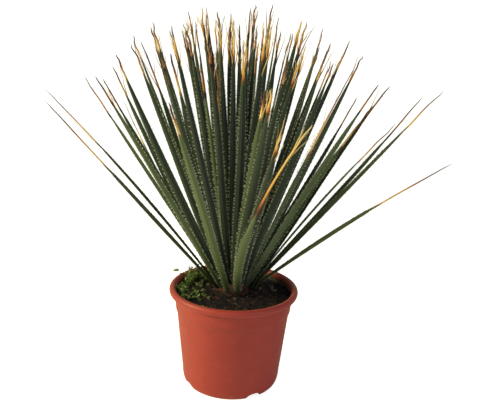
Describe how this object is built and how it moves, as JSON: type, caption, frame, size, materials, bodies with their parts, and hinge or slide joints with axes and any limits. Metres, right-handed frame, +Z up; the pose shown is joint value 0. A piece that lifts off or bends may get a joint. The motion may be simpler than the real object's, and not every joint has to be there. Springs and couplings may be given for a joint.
{
  "type": "potted rosette plant",
  "caption": "Stiff upright rosette of narrow toothed leaves with dry straw tips, standing in soil in a round tapered plastic nursery pot.",
  "frame": {"origin": "middle of the pot's foot, on the surface it stands on", "axes": "+Z up along the pot's axis; the plant's widest spread lies along X, with its longest right-hand leaf towards +X; the pictured side faces -Y"},
  "size_m": [0.5683, 0.4742, 0.5516],
  "materials": {
    "pot": "terracotta-coloured moulded plastic, satin",
    "soil": "dark crumbly potting soil with bark bits",
    "leaf": "grey-green leaf with fine lengthwise lines and straw-dry tips"
  },
  "bodies": {
    "root": {"pot": "pot", "soil": "soil", "rosette": "leaf"}
  },
  "joints": []
}
